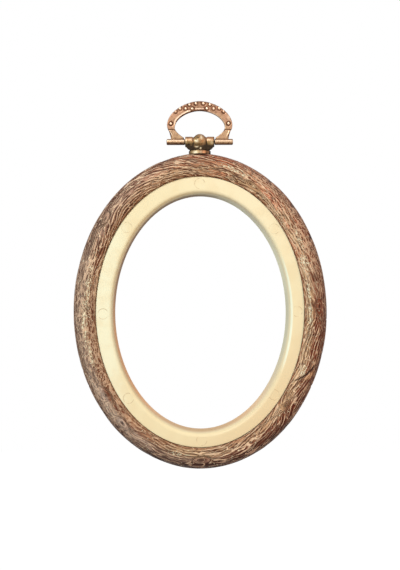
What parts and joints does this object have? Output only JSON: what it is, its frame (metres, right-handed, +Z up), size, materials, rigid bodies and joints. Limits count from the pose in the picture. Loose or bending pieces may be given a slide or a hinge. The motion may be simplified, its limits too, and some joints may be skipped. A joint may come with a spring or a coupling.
{
  "type": "embroidery hoop",
  "caption": "Oval screwless embroidery hoop: soft wood-grain outer ring round a rigid cream inner ring, with a hinged cast hanging loop on top.",
  "frame": {"origin": "where a hook bears: the middle of the underside of the hanging loop's crown", "axes": "+Z up as it hangs, the decorative front faces -Y, the back +Y, +X to the right seen from the front"},
  "size_m": [0.1012, 0.01, 0.1469],
  "materials": {
    "wood_grain_vinyl": "soft vinyl moulded and stained as weathered wood grain",
    "cream_plastic": "satin moulded plastic",
    "antique_copper": "antiqued copper plating, dark in the recesses",
    "antique_brass": "antiqued brass plating, dark in the recesses",
    "steel": "zinc-plated steel"
  },
  "bodies": {
    "bail": {"bail": "antique_copper", "hinge_pin": "steel"},
    "hoop": {"outer_ring": "wood_grain_vinyl", "ferrule": "antique_brass", "hanger_head": "antique_brass", "fixing_screw": "steel", "screw_washer": "steel"},
    "inner_ring": {"inner_ring": "cream_plastic"}
  },
  "joints": [
    {"name": "bail_hinge", "type": "hinge", "parent": "bail", "child": "hoop", "pos_m": [0, 0, -0.0125], "axis": [1, 0, 0], "range_deg": [-135, 135]},
    {"name": "inner_ring_slide", "type": "slide", "parent": "hoop", "child": "inner_ring", "axis": [0, 1, 0], "range_m": [0, 0.02]}
  ]
}
